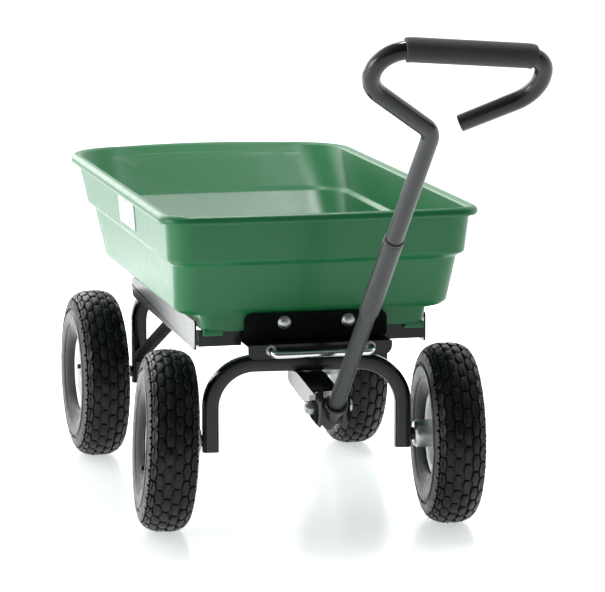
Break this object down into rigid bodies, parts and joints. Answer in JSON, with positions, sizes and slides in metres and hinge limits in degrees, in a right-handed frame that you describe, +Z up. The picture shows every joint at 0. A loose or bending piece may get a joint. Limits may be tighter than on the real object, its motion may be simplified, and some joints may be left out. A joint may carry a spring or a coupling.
{
  "type": "garden dump cart",
  "caption": "Garden cart with a stepped plastic tub that tips back on a steel frame, pneumatic tyres, a steered front axle and a long pull handle with a hand loop.",
  "frame": {"origin": "centre of the bounding box at ground level, under the tyres", "axes": "+Z up; -Y towards the pull handle, the front; +X to the right when seen from the handle end looking back at the tub"},
  "size_m": [0.5004, 1.3088, 0.7478],
  "materials": {
    "tub_green": "satin moulded polypropylene",
    "frame_black": "gloss powder coat",
    "handle_grey": "satin powder coat",
    "grip_foam": "matt foam",
    "tyre_rubber": "matt",
    "rim_silver": "satin silver paint",
    "zinc_fasteners": "zinc plate",
    "bail_chrome": "bright"
  },
  "bodies": {
    "frame": {"rail_left": "frame_black", "rail_right": "frame_black", "front_cross_member": "frame_black", "rear_cross_member": "frame_black", "steering_bracket": "frame_black", "bail_eye_left": "zinc_fasteners", "bail_eye_right": "zinc_fasteners", "rear_arch": "frame_black", "brace_left": "frame_black", "brace_right": "frame_black", "hinge_beam_left": "frame_black", "hinge_beam_right": "frame_black", "hinge_pin": "zinc_fasteners", "axle_rear_left": "frame_black", "axle_nut_rear_left": "zinc_fasteners", "axle_rear_right": "frame_black", "axle_nut_rear_right": "zinc_fasteners"},
    "tub": {"tub": "tub_green", "latch_plate": "frame_black", "latch_bolt_left": "zinc_fasteners", "latch_bolt_right": "zinc_fasteners", "tub_lug_left": "frame_black", "tub_lug_right": "frame_black"},
    "latch": {"bail": "bail_chrome", "latch_bar": "zinc_fasteners"},
    "steering": {"front_arch": "frame_black", "king_pin": "zinc_fasteners", "king_pin_nut": "zinc_fasteners", "axle_front_left": "frame_black", "axle_nut_front_left": "zinc_fasteners", "axle_front_right": "frame_black", "axle_nut_front_right": "zinc_fasteners"},
    "tongue": {"tongue_bracket": "frame_black", "pivot_bolt": "zinc_fasteners", "pivot_nut": "zinc_fasteners"},
    "handle": {"fork_head": "frame_black", "pull_tube": "handle_grey", "hand_loop": "handle_grey", "grip": "grip_foam"},
    "wheel_front_left": {"tyre_front_left": "tyre_rubber", "rim_front_left": "rim_silver", "hub_front_left": "rim_silver", "valve_front_left": "tyre_rubber"},
    "wheel_front_right": {"tyre_front_right": "tyre_rubber", "rim_front_right": "rim_silver", "hub_front_right": "rim_silver", "valve_front_right": "tyre_rubber"},
    "wheel_rear_left": {"tyre_rear_left": "tyre_rubber", "rim_rear_left": "rim_silver", "hub_rear_left": "rim_silver", "valve_rear_left": "tyre_rubber"},
    "wheel_rear_right": {"tyre_rear_right": "tyre_rubber", "rim_rear_right": "rim_silver", "hub_rear_right": "rim_silver", "valve_rear_right": "tyre_rubber"}
  },
  "joints": [
    {"name": "tub_tip", "type": "hinge", "parent": "frame", "child": "tub", "pos_m": [0, 0.5008, 0.302], "axis": [-1, 0, 0], "range_deg": [0, 55]},
    {"name": "latch_pull", "type": "slide", "parent": "frame", "child": "latch", "axis": [0, -1, 0], "range_m": [0, 0.012], "stiffness_N_per_m": 600, "springref_m": -0.002},
    {"name": "front_steer", "type": "hinge", "parent": "frame", "child": "steering", "pos_m": [0, -0.0892, 0.24], "axis": [0, 0, 1], "range_deg": [-24, 35]},
    {"name": "tongue_swivel", "type": "hinge", "parent": "steering", "child": "tongue", "pos_m": [0, -0.0892, 0.22], "axis": [0, 0, -1], "range_deg": [0, 24]},
    {"name": "handle_lean", "type": "hinge", "parent": "tongue", "child": "handle", "pos_m": [0.01073, -0.18057, 0.191], "axis": [0.9932, 0.1167, 0], "range_deg": [-25, 55]},
    {"name": "wheel_front_left_spin", "type": "hinge", "parent": "steering", "child": "wheel_front_left", "pos_m": [-0.2021, -0.0701, 0.1305], "axis": [0.9942, -0.094, -0.0523], "continuous": true},
    {"name": "wheel_front_right_spin", "type": "hinge", "parent": "steering", "child": "wheel_front_right", "pos_m": [0.20359, -0.10845, 0.13], "axis": [0.9956, -0.0941, 0], "continuous": true},
    {"name": "wheel_rear_left_spin", "type": "hinge", "parent": "frame", "child": "wheel_rear_left", "pos_m": [-0.2064, 0.4728, 0.13], "axis": [1, 0, 0], "continuous": true},
    {"name": "wheel_rear_right_spin", "type": "hinge", "parent": "frame", "child": "wheel_rear_right", "pos_m": [0.2064, 0.4728, 0.13], "axis": [1, 0, 0], "continuous": true}
  ]
}
